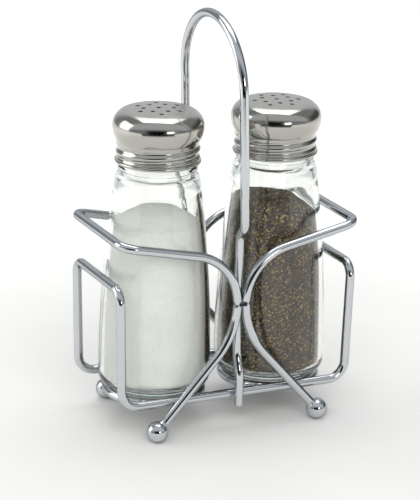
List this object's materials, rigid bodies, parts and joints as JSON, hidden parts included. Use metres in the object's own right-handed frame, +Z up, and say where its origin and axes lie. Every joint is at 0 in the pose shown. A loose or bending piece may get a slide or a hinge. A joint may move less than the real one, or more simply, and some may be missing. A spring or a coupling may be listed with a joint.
{
  "type": "salt and pepper shakers",
  "caption": "Tapered glass salt and pepper shakers with perforated steel screw caps, standing in a carrying caddy of bent chromed wire with a hoop handle.",
  "frame": {"origin": "middle of the footprint, on the surface that the four ball feet stand on", "axes": "+X from the salt shaker to the pepper shaker, +Y from the front to the rear, +Z up"},
  "size_m": [0.1168, 0.0672, 0.185],
  "materials": {
    "chrome_wire": "bright nickel and chrome plating on drawn steel wire",
    "steel_cap": "spun stainless steel, polished sides and a satin top",
    "clear_glass": "clear pressed soda-lime glass with a heavy, slightly green base",
    "salt_grains": "fine white salt",
    "pepper_grains": "coarsely ground black pepper"
  },
  "bodies": {
    "caddy": {"base_cradle": "chrome_wire", "left_side_loop": "chrome_wire", "right_side_loop": "chrome_wire", "handle": "chrome_wire", "salt_seat_ring": "chrome_wire", "pepper_seat_ring": "chrome_wire", "front_left_foot": "chrome_wire", "front_right_foot": "chrome_wire", "rear_left_foot": "chrome_wire", "rear_right_foot": "chrome_wire"},
    "salt_contents": {"salt_fill": "salt_grains"},
    "salt_glass": {"salt_bottle": "clear_glass"},
    "salt_cap": {"salt_cap": "steel_cap"},
    "pepper_contents": {"pepper_fill": "pepper_grains"},
    "pepper_glass": {"pepper_bottle": "clear_glass"},
    "pepper_cap": {"pepper_cap": "steel_cap"}
  },
  "joints": [
    {"name": "salt_lift", "type": "slide", "parent": "caddy", "child": "salt_contents", "axis": [0, 0, 1], "range_m": [0, 0.1]},
    {"name": "salt_unscrew", "type": "hinge", "parent": "salt_contents", "child": "salt_glass", "pos_m": [-0.0285, 0, 0.01659], "axis": [0, 0, -1], "range_deg": [-90, 990]},
    {"name": "salt_cap_rise", "type": "slide", "parent": "salt_contents", "child": "salt_cap", "axis": [0, 0, 1], "range_m": [-0.00105, 0.01155]},
    {"name": "pepper_lift", "type": "slide", "parent": "caddy", "child": "pepper_contents", "axis": [0, 0, 1], "range_m": [0, 0.1]},
    {"name": "pepper_unscrew", "type": "hinge", "parent": "pepper_contents", "child": "pepper_glass", "pos_m": [0.0285, 0, 0.01659], "axis": [0, 0, -1], "range_deg": [0, 1080]},
    {"name": "pepper_cap_rise", "type": "slide", "parent": "pepper_contents", "child": "pepper_cap", "axis": [0, 0, 1], "range_m": [0, 0.0126]}
  ],
  "couplings": [
    {"joint": "salt_cap_rise", "follows": "salt_unscrew", "m_per_rad": 0.00066845},
    {"joint": "pepper_cap_rise", "follows": "pepper_unscrew", "m_per_rad": 0.00066845}
  ]
}
